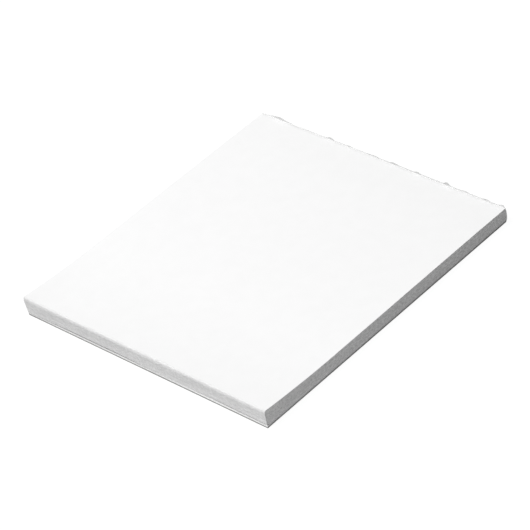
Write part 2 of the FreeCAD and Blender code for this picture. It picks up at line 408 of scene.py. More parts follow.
@dataclass(frozen=True)
class PageFinish:
    """The face of a plain white leaf: faint clouding, a fine tooth and stray fibres.

    The last stretch before the free edge is painted a little darker, as painted shade where
    the leaves round down, and a narrow one before the glued edge is painted darker too, as
    painted shade where the top leaf bends down under the glue.
    """

    free_edge: float
    glued_edge: float
    colour: Colour = (0.92, 0.92, 0.92)
    # Painted shade at the free edge: the colour's share there, and how far in it fades
    edge_shade_share: float = 0.79
    edge_shade_reach: float = 1.5 * MM
    # Painted shade at the glued edge: the colour's share there, and how far out it fades
    glued_edge_shade_share: float = 0.84
    glued_edge_shade_reach: float = 1.3 * MM
    cloud_width: float = 7 * MM
    cloud_depth: float = 0.012
    tooth_width: float = 0.35 * MM
    tooth_height: float = 0.004 * MM
    fibre_length: float = 1.6 * MM
    fibre_width: float = 0.09 * MM
    fibre_band: Range = (0.72, 0.8)
    fibre_depth: float = 0.045
    roughness: Range = (0.83, 0.88)
    gloss: float = 0.3

    def make(self) -> bpy.types.Material:
        """Builds the material on Object coordinates.

        Returns:
            The material.
        """
        recipe = Recipe(bpy.data.materials.new("page_face"))
        clouds = recipe.noise((self.cloud_width,) * 3, detail=4)
        cloudy = shade(self.colour, 1 - self.cloud_depth)
        base = recipe.patched(clouds, NOISE_BAND, self.colour, cloudy)
        fibres = recipe.matted(self.fibre_length, self.fibre_width, detail=1)
        strayed = shade(self.colour, 1 - self.fibre_depth)
        flecked = recipe.patched(fibres, self.fibre_band, base, strayed)
        along = recipe.place("Y")
        # Painted shade, darker towards the free edge
        edge_shade_to = self.free_edge + self.edge_shade_reach
        edge_level = recipe.spread(along, (self.free_edge, edge_shade_to), (self.edge_shade_share, 1.0))
        # Painted shade, darker just before the glued edge
        glued_edge_shade_from = self.glued_edge - self.glued_edge_shade_reach
        glued_edge_shade = recipe.spread(along, (glued_edge_shade_from, self.glued_edge), (1.0, self.glued_edge_shade_share))
        tooth = recipe.noise((self.tooth_width,) * 3, detail=5)
        return recipe.surface(
            base_color=recipe.tinted(flecked, recipe.arithmetic("MULTIPLY", edge_level, glued_edge_shade)),
            roughness=recipe.spread(tooth, NOISE_BAND, self.roughness),
            specular_ior_level=self.gloss,
            normal=recipe.relief(tooth, self.tooth_height),
        )


@dataclass(frozen=True)
class LeafEdgeFinish:
    """The cut edges of the stacked leaves.

    Each leaf has a tone of its own, bundles of leaves share a broader one, the knife
    leaves upright marks across them all, and handling leaves small smudges. The sides
    are cut a little more roughly and show short flecks.
    """

    leaf_thickness: float
    free_edge: float
    colour: Colour = (0.836, 0.836, 0.836)
    tone_depth: float = 0.046
    bundle_length: float = 16 * MM
    bundle_height: float = 0.9 * MM
    bundle_depth: float = 0.04
    smudge_length: float = 1.5 * MM
    smudge_height: float = 0.7 * MM
    smudge_depth: float = 0.085
    mark_width: float = 1.1 * MM
    mark_slimness: float = 0.12
    mark_depth: float = 0.035
    fleck_length: float = 1.3 * MM
    fleck_height: float = 0.5 * MM
    fleck_depth: float = 0.16
    fleck_start: Range = (0.5 * MM, 6 * MM)
    fuzz_length: float = 0.2 * MM
    fuzz_width: float = 0.05 * MM
    fuzz_height: float = 0.006 * MM
    roughness: float = 0.95
    gloss: float = 0.2

    def make(self) -> bpy.types.Material:
        """Builds the material on the leaves' own UV map, along the edge and up it.

        Object coordinates keep the flecks to the sides.

        Returns:
            The material.
        """
        recipe = Recipe(bpy.data.materials.new("leaf_edges"))
        leaf_widths = (1.0, self.leaf_thickness, 1.0)
        leaf = recipe.arithmetic("FLOOR", recipe.place("Y", leaf_widths, Space.SURFACE), 0.0)
        lot = recipe.add("ShaderNodeTexWhiteNoise", noise_dimensions="1D")
        tone = recipe.feed(lot, w=leaf).outputs["Value"]
        level = recipe.spread(tone, (0.0, 1.0), (1 - self.tone_depth, 1 + self.tone_depth))
        layers = (
            (self.bundle_length, self.bundle_height, self.bundle_depth),
            (self.smudge_length, self.smudge_height, self.smudge_depth),
            (self.mark_width, self.mark_width / self.mark_slimness, self.mark_depth),
        )
        for length, height, depth in layers:
            layer = recipe.noise((length, height, 1.0), detail=3, on=Space.SURFACE)
            level = recipe.arithmetic("MULTIPLY", level, recipe.stray(layer, depth))
        starts, ends = (self.free_edge + reach for reach in self.fleck_start)
        aside = recipe.spread(recipe.place("Y"), (starts, ends), (0.0, self.fleck_depth))
        fleck_widths = (self.fleck_length, self.fleck_height, 1.0)
        flecks = recipe.noise(fleck_widths, detail=2, on=Space.SURFACE)
        flecks = recipe.spread(flecks, NOISE_BAND, (-1.0, 1.0))
        fleck = recipe.arithmetic("MULTIPLY", flecks, aside)
        level = recipe.arithmetic("MULTIPLY", level, recipe.arithmetic("ADD", fleck, 1.0))
        fuzz_widths = (self.fuzz_length, self.fuzz_width, 1.0)
        fuzz = recipe.noise(fuzz_widths, detail=3, on=Space.SURFACE)
        return recipe.surface(
            base_color=recipe.tinted(self.colour, level),
            roughness=self.roughness,
            specular_ior_level=self.gloss,
            normal=recipe.relief(fuzz, self.fuzz_height),
        )


@dataclass(frozen=True)
class SlitShadeFinish:
    """The leaves' faces deep in a slit, painted dark as shade, since little light reaches there,
    with a faint mottle. dim and dusty.
    """

    # Painted shade: a dark grey for the slit's faces
    colour: Colour = (0.16, 0.16, 0.16)
    mottle_width: float = 0.8 * MM
    mottle_depth: float = 0.25
    roughness: float = 0.96
    gloss: float = 0.1

    def make(self) -> bpy.types.Material:
        """Builds the material on Object coordinates.

        Returns:
            The material.
        """
        recipe = Recipe(bpy.data.materials.new("leaf_gap"))
        level = recipe.stray(recipe.noise((self.mottle_width,) * 3, detail=3), self.mottle_depth)
        return recipe.surface(
            base_color=recipe.tinted(self.colour, level),
            roughness=self.roughness,
            specular_ior_level=self.gloss,
        )


@dataclass(frozen=True)
class ChipboardFinish:
    """Grey recycled board: pressed layers on its edges, matted fibres and flecks."""

    colour: Colour = (0.356, 0.354, 0.35)
    layer_height: float = 0.11 * MM
    layer_length: float = 2.6 * MM
    layer_band: Range = (0.32, 0.68)
    layer_shades: Range = (0.86, 1.1)
    fibre_width: float = 0.16 * MM
    fibre_length: float = 2.2 * MM
    fibre_band: Range = (0.55, 0.75)
    fibre_shade: float = 1.32
    fleck_width: float = 0.45 * MM
    fleck_band: Range = (0.68, 0.76)
    fleck_shade: float = 0.5
    relief_height: float = 0.02 * MM
    roughness: float = 0.94
    gloss: float = 0.25

    def make(self) -> bpy.types.Material:
        """Builds the material on Object coordinates, so the layers lie level.

        Returns:
            The material.
        """
        recipe = Recipe(bpy.data.materials.new("chipboard_grey"))
        layer_widths = (self.layer_length, self.layer_length, self.layer_height)
        layers = recipe.noise(layer_widths, detail=3)
        dark, light = (shade(self.colour, share) for share in self.layer_shades)
        base = recipe.patched(layers, self.layer_band, dark, light)
        fibres = recipe.matted(self.fibre_length, self.fibre_width, detail=2)
        pale = shade(self.colour, self.fibre_shade)
        fibred = recipe.patched(fibres, self.fibre_band, base, pale)
        flecks = recipe.noise((self.fleck_width,) * 3, detail=1)
        speck = shade(self.colour, self.fleck_shade)
        return recipe.surface(
            base_color=recipe.patched(flecks, self.fleck_band, fibred, speck),
            roughness=self.roughness,
            specular_ior_level=self.gloss,
            normal=recipe.relief(fibres, self.relief_height),
        )


@dataclass(frozen=True)
class GlueFinish:
    """Dried padding glue: milky, half glossy, brushed along the edge, ribbed by leaves.

    Where it stands free above the leaves it is painted greyer and duller, as painted shade
    of the rim's shaded inner face, which has no white paper behind it.
    """

    leaf_thickness: float
    page_top: float
    colour: Colour = (0.86, 0.86, 0.86)
    # Painted shade for the rim that stands above the leaves
    rim_shade_colour: Colour = (0.65, 0.65, 0.65)
    free_blend: Range = (-0.25 * MM, 0.5 * MM)
    free_shade: float = 0.85
    streak_length: float = 28 * MM
    streak_height: float = 0.5 * MM
    streak_band: Range = (0.35, 0.65)
    streak_shade: float = 0.94
    streak_relief: float = 0.03 * MM
    blotch_width: float = 6 * MM
    blotch_band: Range = (0.45, 0.75)
    blotch_shade: float = 0.9
    rib_length: float = 1 / 60
    rib_relief: float = 0.006 * MM
    rough_band: Range = (0.35, 0.7)
    roughness: Range = (0.34, 0.58)
    gloss: Range = (0.5, 0.15)

    def make(self) -> bpy.types.Material:
        """Builds the material on Object coordinates, with the streaks along X.

        Returns:
            The material.
        """
        recipe = Recipe(bpy.data.materials.new("padding_glue_dried"))
        streak_widths = (self.streak_length, self.streak_height, self.streak_height)
        streaks = recipe.noise(streak_widths, detail=4)
        streaked = recipe.spread(streaks, self.streak_band)
        blotches = recipe.noise((self.blotch_width,) * 3, detail=3)
        base = recipe.blend(streaked, self.colour, shade(self.colour, self.streak_shade))
        blotched = shade(self.colour, self.blotch_shade)
        clouded = recipe.patched(blotches, self.blotch_band, base, blotched)
        # Painted shade, greyer and duller above the page's top
        starts, ends = (self.page_top + reach for reach in self.free_blend)
        free = recipe.spread(recipe.place("Z"), (starts, ends))
        dull = shade(self.rim_shade_colour, self.free_shade)
        torn = recipe.blend(streaked, self.rim_shade_colour, dull)
        rib_widths = (self.rib_length, self.rib_length, 2 * self.leaf_thickness)
        ribs = recipe.noise(rib_widths, detail=2)
        brushed = recipe.relief(streaks, self.streak_relief)
        return recipe.surface(
            base_color=recipe.blend(free, clouded, torn),
            roughness=recipe.spread(blotches, self.rough_band, self.roughness),
            specular_ior_level=recipe.spread(free, (0.0, 1.0), self.gloss),
            normal=recipe.relief(ribs, self.rib_relief, brushed),
        )


# The pad's pieces

# The rings round each leaf: at its cut edge's foot and head, and in the groove above
LEAF_RINGS = 3
# How far up its leaf each ring counts: just under a half, so the groove is still below
# the next leaf
RING_STEP = 0.499


@dataclass(frozen=True)
class Stack:
    """How the pad is put together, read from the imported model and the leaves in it.

    The left side leans out from the board to the top leaf, by less and less. At the
    glued edge the pieces are drawn in underneath, more and more.
    """

    leaf_count: int = 50
    leaf_thickness: float = 0.122 * MM
    left_lean: float = 1.45 * MM
    lean_power: float = 1.35
    left_reach: float = 0.45 * MM
    board_reach: float = 0.1 * MM
    heel: float = 1.1 * MM
    heel_reach: float = 1.9 * MM
    free_edge: float = field(default_factory=lambda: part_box("backing_board")[0].y)
    glued_edge: float = field(default_factory=lambda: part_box("backing_board")[1].y)
    right_side: float = field(default_factory=lambda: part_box("backing_board")[1].x)
    board_top: float = field(default_factory=lambda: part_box("backing_board")[1].z)
    film_back: float = field(default_factory=lambda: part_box("glue_binding")[1].y)

    @property
    def page_top(self) -> float:
        """The height of the top leaf's face where the pad lies flat."""
        return self.board_top + self.leaf_count * self.leaf_thickness

    @property
    def width(self) -> float:
        """The width of the top leaf."""
        return 2 * self.right_side

    @property
    def length(self) -> float:
        """The length of a leaf, from the free edge to the glued edge."""
        return self.glued_edge - self.free_edge

    def left_side(self, height: np.ndarray) -> np.ndarray:
        """Where the left side is: in by the lean times a power of the share of height above."""
        share = np.clip((height - self.board_top) / (self.page_top - self.board_top), 0, 1)
        return -self.right_side - self.left_reach + self.left_lean * (1 - share) ** self.lean_power

    def glued_end(self, height: np.ndarray) -> np.ndarray:
        """Where the pieces end: in by the heel times the square of how far down its reach."""
        below = np.clip(1 - height / self.heel_reach, 0, 1)
        return self.glued_edge - self.heel * below**2


@dataclass(frozen=True)
class Slit:
    """A place at the free edge where the lifted leaves gape above the flat ones."""

    start: float
    end: float
    gape: float

    def opening(self, share: np.ndarray) -> np.ndarray:
        """How far it gapes at each share of the width: half a sine from end to end."""
        along = np.clip((share - self.start) / (self.end - self.start), 0, 1)
        return self.gape * np.sin(np.pi * along)


class LeafFace(IntEnum):
    """What a face of the leaves shows: the number of its finish in the mesh."""

    PAGE = 0
    CUT_EDGE = 1
    # The slits' insides, painted dark as shade
    GAP = 2


@dataclass
class Leaves:
    """The block of leaves as one skin that runs in and out between them.

    Every point belongs to a leaf and has two shares: how far across the leaf it is,
    from left to right, and how far along, from the free edge to the glued edge. The
    walls are the leaves' cut edges with a shallow groove between each two, and the top
    is the top leaf's face. Towards the free edge the leaves above the lowest few curl
    up along a parabola and fan out. The lowest leaf ends flush with the board and the
    others stand back from it, so its margin shows as a ledge. The topmost recede, so
    the block's upper edge is rounded.
    """

    stack: Stack
    cells_across: int = 112
    cells_along: int = 104
    crowding: float = 1.2
    flat_leaves: int = 6
    flush_leaves: int = 1
    curl_length: float = 42 * MM
    curl_rise: float = 1.75 * MM
    clumping: float = 0.9
    least_gap: float = 0.25
    corner_rise: float = 0.4 * MM
    corner_run: float = 6 * MM
    ledge: float = 0.27 * MM
    ledge_run: float = 14 * MM
    wide_ledge: float = 0.17 * MM
    wide_ledge_at: float = 106 * MM
    wide_ledge_width: float = 16 * MM
    pushed_leaves: int = 4
    pushed_at: float = 78 * MM
    pushed_width: float = 12 * MM
    pushed_share: float = 0.85
    pushed_narrows: float = 0.3
    lifted_back: float = 0.08 * MM
    crest_leaves: int = 9
    crest_back: float = 0.9 * MM
    side_crest_leaves: int = 4
    side_crest_back: float = 0.1 * MM
    skew: float = 0.25 * MM
    edge_stray: float = 0.045 * MM
    side_stray: float = 0.03 * MM
    drift_share: float = 0.6
    jog_share: float = 0.25
    wave_share: float = 0.2
    edge_waves: tuple[float, ...] = (31 * MM, 11 * MM, 3.7 * MM)
    mouth: float = 0.007 * MM
    groove: float = 0.2 * MM
    least_groove: float = 0.3
    groove_waves: tuple[float, ...] = (23 * MM, 8.3 * MM, 2.9 * MM)
    slit_reach: float = 9 * MM
    slit_share: float = 0.4
    full_gape: float = 0.1 * MM
    slits: tuple[Slit, ...] = (Slit(0.04, 0.55, 0.36 * MM), Slit(0.68, 1.06, 0.21 * MM))
    cockle: float = 0.03 * MM
    cockle_width: float = 47 * MM
    cockle_slant: float = 0.4
    head_squeeze: float = 0.2 * MM
    squeeze_run: float = 22 * MM

    def shares_along(self) -> np.ndarray:
        """Steps along the leaves, closer together towards the free edge."""
        return np.linspace(0, 1, self.cells_along + 1) ** self.crowding

    def fan_shares(self) -> np.ndarray:
        """Shares the curl's rise out between the leaves.

        It is nought for the flat leaves and then grows by uneven gaps, so that leaves
        clump as they do in a real pad: a gamma draw and a least gap.

        Returns:
            Each leaf's share of the rise.
        """
        lifted = self.stack.leaf_count - self.flat_leaves
        source = np.random.default_rng(Draw.CLUMPS)
        gaps = source.gamma(self.clumping, 1.0, lifted) + self.least_gap
        gaps[0] = 0.0
        return np.concatenate([np.zeros(self.flat_leaves), np.cumsum(gaps) / gaps.sum()])

    def underside(self, leaf: np.ndarray, across: np.ndarray, y: np.ndarray) -> np.ndarray:
        """Works out the height of the leaves' undersides.

        A leaf lies at its place in the stack, and is lifted by its share of the rise
        times the square of how far into the curl the point is, by the slits below it,
        and by a faint cockle that grows towards the top. Near the glued edge, where the
        stack was clamped while the glue dried, it is squeezed. The rise is greater at
        the left corner by a bell curve. No leaf sinks into the one below it.

        Args:
            leaf: leaf numbers from 0 at the board, as a column.
            across: shares across the leaf, in a row or as a table.
            y: places along Y, in a row or as a table.

        Returns:
            Heights, one row for each leaf.
        """
        stack = self.stack
        every = np.arange(stack.leaf_count)[:, None, None]
        y = np.broadcast_to(y, (len(leaf), y.shape[-1]))[None]
        depth = every / (stack.leaf_count - 1)
        into = np.clip(1 - (y - stack.free_edge) / self.curl_length, 0, 1)
        corner = np.exp(-((across * stack.width / self.corner_run) ** 2))
        rise = self.curl_rise + self.corner_rise * corner
        lift = rise * self.fan_shares()[every] * into**2
        gape = sum(slit.opening(across) for slit in self.slits)
        near = np.clip(1 - (y - stack.free_edge) / self.slit_reach, 0, 1)
        above = np.where(every >= self.flat_leaves, 1 - depth, 0.0)
        slanted = across * stack.width + self.cockle_slant * y
        wave = np.sin(2 * np.pi * slanted / self.cockle_width)
        wave = wave * np.sin(np.pi * (y - stack.free_edge) / stack.length)
        squeeze = smooth_step(1 - (stack.glued_edge - y) / self.squeeze_run)
        shift = lift + gape * near**2 * above + self.cockle * wave * depth**2
        shift = np.maximum.accumulate(shift, axis=0) - self.head_squeeze * squeeze * depth
        own = np.take_along_axis(shift, leaf[None, :, :] + np.zeros_like(y, int), axis=0)[0]
        return stack.board_top + leaf * stack.leaf_thickness + own

    def outline(
        self, leaf: np.ndarray, across: np.ndarray, along: np.ndarray, inset: np.ndarray
    ) -> tuple[np.ndarray, np.ndarray]:
        """Places points on the leaves, seen from above.

        Each leaf is a rectangle whose four edges drift a little. The free edge stands
        back from the board's by the ledge, which grows from nought at the left side as
        one less a bell curve, and is widest in a second bell curve. In a third it is
        narrower and the lowest leaves are pushed out again. The lifted leaves lean
        forward from leaf to leaf, and the topmost recede as a quarter of an ellipse
        does. They are skewed to the left: their right side moves in by the square of
        how near the free edge is, and the topmost recede a little there too. At the
        glued edge the lowest leaves are drawn in under the glue, as the board is.

        Args:
            leaf: leaf numbers, as a column.
            across: shares across, in a row.
            along: shares along, in a row.
            inset: how far inside the leaf's edges the rectangle is drawn, as a table.

        Returns:
            X and Y of each point, one row for each leaf.
        """
        stack = self.stack
        count = stack.leaf_count
        rows = leaf[:, 0]
        steps = np.random.default_rng(Draw.JOGS).normal(0, 1, (3, count, 1))
        drift = np.cumsum(steps, axis=1)
        drift = drift - drift.mean(axis=1, keepdims=True)
        drift = drift / np.abs(drift).max(axis=1, keepdims=True)
        offset = (self.drift_share * drift + self.jog_share * np.clip(steps, -2, 2))[:, rows]
        x_place, y_place = across * stack.width, along * stack.length
        free_stray, left_stray, right_stray = (
            1 + own + self.wave_share * Wander(self.edge_waves, draw).along(place, count)[rows]
            for own, draw, place in zip(
                offset,
                (Draw.FREE_EDGES, Draw.LEFT_SIDES, Draw.RIGHT_SIDES),
                (x_place, y_place, y_place),
            )
        )

        ledge = self.ledge * (1 - np.exp(-((x_place / self.ledge_run) ** 2)))
        from_widest = (x_place - self.wide_ledge_at) / self.wide_ledge_width
        from_pushed = (x_place - self.pushed_at) / self.pushed_width
        near_pushed = np.exp(-(from_pushed**2))
        pushed = self.pushed_share * near_pushed * (leaf < self.pushed_leaves)
        ledge = ledge + self.wide_ledge * np.exp(-(from_widest**2))
        ledge = ledge * (1 - self.pushed_narrows * near_pushed) * (1 - pushed)
        lifted = leaf >= self.flat_leaves
        height = np.clip((leaf - self.flat_leaves) / (count - self.flat_leaves), 0, 1)
        upper = stack.board_reach + self.lifted_back
        back = (ledge + (upper - ledge) * height) * (leaf >= self.flush_leaves)
        crest = np.clip((leaf + 1 - count + self.crest_leaves) / self.crest_leaves, 0, 1)
        back = back + self.crest_back * (1 - np.sqrt(1 - crest**2))
        free = stack.free_edge - stack.board_reach + inset + back
        free = free + self.edge_stray * free_stray
        middle = stack.board_top + (leaf + 0.5) * stack.leaf_thickness
        left = stack.left_side(middle) + inset + self.side_stray * left_stray
        right = stack.right_side - inset - self.side_stray * right_stray
        right = right - self.skew * (1 - along) ** 2 * lifted
        crest = (leaf + 1 - count + self.side_crest_leaves) / self.side_crest_leaves
        right = right - self.side_crest_back * np.clip(crest, 0, 1) ** 2
        x = left + across * (right - left)
        y = free + along * (stack.glued_end(middle) - free)
        return x, y

    def gape(self, across: np.ndarray, along: np.ndarray) -> np.ndarray:
        """Works out how far the slits gape round the rim: at the free edge alone."""
        return sum(slit.opening(across) for slit in self.slits) * (along == 0)

    def walls(self, across: np.ndarray, along: np.ndarray) -> np.ndarray:
        """Works out the walls' points, ring above ring.

        Each leaf has two rings, at the foot and the head of its cut edge, and between
        two leaves a third ring runs in the groove, deeper where a slit gapes.

        Args:
            across: shares across round the rim of a leaf.
            along: shares along round the rim of a leaf.

        Returns:
            A table of points: rings by places round the rim by X, Y and Z.
        """
        stack = self.stack
        leaf = np.arange(stack.leaf_count)[:, None]
        flush = np.zeros((stack.leaf_count, len(across)))
        x, y = self.outline(leaf, across, along, flush)
        low = self.underside(leaf, across[None, :], y)
        high = low + stack.leaf_thickness
        foot, head = low + self.mouth, high - self.mouth
        foot[0], head[-1] = low[0], high[-1]

        between = leaf[1:]
        place = (across - along) * stack.length
        edge_level = Wander(self.groove_waves, Draw.GROOVES).along(place, len(between))
        edge_level = np.clip(0.5 + 0.5 * edge_level, 0, 1)
        inset = self.groove * (self.least_groove + (1 - self.least_groove) * edge_level)
        opened = smooth_step(self.gape(across, along) / self.full_gape)
        deep = self.slit_share * self.slit_reach * opened
        inset = inset + np.where(between == self.flat_leaves, deep, 0.0)
        groove_x, groove_y = self.outline(between, across, along, inset)
        under = self.underside(between, across[None, :], groove_y)
        over = self.underside(between - 1, across[None, :], groove_y) + stack.leaf_thickness

        rings = np.empty((LEAF_RINGS * stack.leaf_count - 1, len(across), 3))
        rings[0::LEAF_RINGS] = np.stack([x, y, foot], axis=-1)
        rings[1::LEAF_RINGS] = np.stack([x, y, head], axis=-1)
        rings[2::LEAF_RINGS] = np.stack([groove_x, groove_y, (under + over) / 2], axis=-1)
        return rings

    def skin(self) -> Skin:
        """Joins the top leaf's face, the walls and the flat underside into one skin.

        Returns:
            The closed surface. A leaf's face has the page's finish at a ledge too. On
            the walls the UV map runs round the rim and up through the leaves.
        """
        stack = self.stack
        across, along = np.meshgrid(
            np.linspace(0, 1, self.cells_across + 1), self.shares_along()
        )
        top = np.array([[stack.leaf_count - 1]])
        flush = np.zeros((1, across.size))
        face_x, face_y = self.outline(top, across.ravel(), along.ravel(), flush)
        face_z = self.underside(top, across.ravel()[None, :], face_y) + stack.leaf_thickness
        face = np.stack([face_x, face_y, face_z], axis=-1)[0]
        face_numbers = np.arange(face.shape[0]).reshape(across.shape)

        rings = self.walls(grid_rim(across), grid_rim(along))[:-1]
        ring_numbers = face.shape[0] + np.arange(rings[..., 0].size).reshape(rings.shape[:2])
        numbers = np.concatenate([ring_numbers, grid_rim(face_numbers)[None, :]])
        face_quads, wall_quads = grid_quads(face_numbers), grid_quads(numbers, wrap=True)
        points = np.concatenate([face, rings.reshape(-1, 3)])
        below = points[numbers[0]].mean(axis=0, keepdims=True)
        underside = fan(numbers[0][::-1], len(points))

        ring = points[numbers[0]][:, :2]
        step = np.linalg.norm(np.roll(ring, -1, axis=0) - ring, axis=1)
        round_rim = np.concatenate([[0.0], np.cumsum(step)])
        leaf_of_row, ring_of_leaf = np.divmod(np.arange(len(numbers)), LEAF_RINGS)
        up = (leaf_of_row + ring_of_leaf * RING_STEP) * stack.leaf_thickness
        u, v = np.meshgrid(round_rim, up)
        flat = np.arange(u.size).reshape(u.shape)
        wall_uv = np.stack([u.ravel(), v.ravel()], axis=-1)[grid_quads(flat)]
        face_uv = points[face_quads][..., :2]
        finish = np.zeros((len(numbers) - 1, numbers.shape[1]), int)
        finish[::LEAF_RINGS] = LeafFace.CUT_EDGE
        # The quads that run into the slits' groove and out of it again, painted dark as shade
        slit_rows = np.arange(-2, 0) + LEAF_RINGS * self.flat_leaves
        gapes = self.gape(grid_rim(across), grid_rim(along)) > 0
        finish[np.ix_(slit_rows, gapes)] = LeafFace.GAP
        return Skin(
            "leaves",
            np.concatenate([points, below]),
            np.concatenate([face_quads, wall_quads]),
            underside,
            np.concatenate([face_uv, wall_uv]),
            np.concatenate([np.zeros(len(face_quads), int), finish.ravel()]),
        )

    def build(self) -> bpy.types.Object:
        """Makes the leaves, which stand for the CAD's page block.

        Returns:
            The leaves' object.
        """
        piece = self.skin().to_object()
        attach(piece, BODY)
        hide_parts("page_block")
        return piece

    def dress(self, piece: bpy.types.Object) -> None:
        """Gives the faces, the cut edges and the slits' insides their finishes, the slits' insides
        painted dark as shade.

        Args:
            piece: the leaves' object.
        """
        stack = self.stack
        finishes = {
            LeafFace.PAGE: PageFinish(stack.free_edge, stack.glued_edge),
            LeafFace.CUT_EDGE: LeafEdgeFinish(stack.leaf_thickness, stack.free_edge),
            LeafFace.GAP: SlitShadeFinish(),
        }
        for face in LeafFace:
            piece.data.materials.append(finishes[face].make())


@dataclass
class BackBoard:
    """The chipboard back: a cut sheet with slightly crushed, fibrous edges.

    A profile of the cut edge, from the underside to the top, is carried round the
    board's outline, and flat fans close it below and above.
    """

    stack: Stack
    steps_across: int = 240
    steps_along: int = 260
    crush: float = 0.04 * MM
    stray: float = 0.018 * MM
    stray_share: float = 0.8
    stray_waves: tuple[float, ...] = (9.7 * MM, 3.1 * MM, 1.3 * MM)
    side_reach: float = 0.12 * MM
    profile: tuple[tuple[float, float], ...] = (
        (0.0, 2.6), (0.04, 1.3), (0.12, 0.2), (0.26, 0.0), (0.42, 0.12),
        (0.58, 0.02), (0.74, 0.1), (0.88, 0.0), (0.97, 0.25), (1.0, 0.7),
    )

    def build(self) -> bpy.types.Object:
        """Makes the board, which stands for the CAD's backing board.

        A point of the edge lies inside the outline by the profile's inset, as a share
        of the crush, and by a drift of its own for each height. The board lies a little
        askew under the leaves, so its right side reaches out towards the glued edge.

        Returns:
            The board's object.
        """
        stack = self.stack
        across, along = np.meshgrid(
            np.linspace(0, 1, self.steps_across + 1), np.linspace(0, 1, self.steps_along + 1)
        )
        across, along = grid_rim(across), grid_rim(along)
        heights, insets = np.array(self.profile).T
        place = (across * stack.width + along * stack.length) * np.where(across > along, 1, -1)
        drift = Wander(self.stray_waves, Draw.BOARD).along(place, len(heights))
        inset = self.crush * insets[:, None] + self.stray * (1 + drift * self.stray_share)
        left = stack.left_side(np.array(0.0))
        right = stack.right_side + self.side_reach * along
        x = left + inset + across * (right - left - 2 * inset)
        free = stack.free_edge - stack.board_reach + inset
        y = free + along * (stack.glued_end(heights[:, None] * stack.board_top) - free)
        z = np.broadcast_to(heights[:, None] * stack.board_top, x.shape)
        rings = np.stack([x, y, z], axis=-1)
        points = np.concatenate([rings.reshape(-1, 3), rings[[0, -1]].mean(axis=1)])
        numbers = np.arange(x.size).reshape(x.shape)
        quads = grid_quads(numbers, wrap=True)
        faces = fan(numbers[0][::-1], x.size) + fan(numbers[-1], x.size + 1)
        skin = Skin("back_board", points, quads, faces, points[quads][..., :2])
        piece = skin.to_object()
        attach(piece, BODY)
        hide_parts("backing_board")
        return piece

    def dress(self, piece: bpy.types.Object) -> None:
        """Gives the board its finish."""
        piece.data.materials.append(ChipboardFinish().make())


@dataclass(frozen=True)
class Flap:
    """A torn flap of the film, or a notch in it where the stand is below nought.

    Its tip is at a share of the pad's width, and its foot reaches out before and after.
    """

    along: float
    stand: float
    before: float
    after: float
    hollow: float = 1.3

    def height(self, x: np.ndarray, stack: Stack) -> np.ndarray:
        """Works out how high it stands: an eased, hollow rise to the tip, and a fall.

        Args:
            x: places along X.
            stack: the pad that it is on.

        Returns:
            Its height at each place.
        """
        tip = -stack.right_side + self.along * stack.width
        rise = smooth_step(1 - (tip - x) / self.before) ** self.hollow
        fall = smooth_step(1 - (x - tip) / self.after)
        return self.stand * np.where(x < tip, rise, fall)


